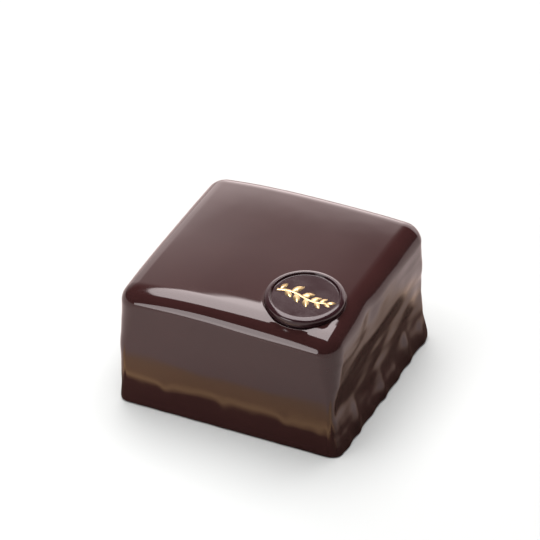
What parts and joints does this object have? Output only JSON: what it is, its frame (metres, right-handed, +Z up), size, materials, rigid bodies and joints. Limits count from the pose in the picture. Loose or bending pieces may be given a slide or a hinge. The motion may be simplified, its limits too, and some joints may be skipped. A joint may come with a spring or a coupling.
{
  "type": "sachertorte",
  "caption": "Square single-portion chocolate torte, glazed all over in dark chocolate, with a round chocolate seal near one corner of its slightly domed top.",
  "frame": {"origin": "middle of the outline, on the surface that the cake stands on", "axes": "+Z up; -Y towards the smooth front; the seal is near the front right corner, at +X and -Y; the glaze ran down on the +X side"},
  "size_m": [0.0677, 0.064, 0.0422],
  "materials": {
    "chocolate_glaze": "dark chocolate glaze, mirror-glossy, poured",
    "seal_chocolate": "moulded dark chocolate, polished"
  },
  "bodies": {
    "root": {"glazed_cake": "chocolate_glaze", "chocolate_seal": "seal_chocolate"}
  },
  "joints": []
}
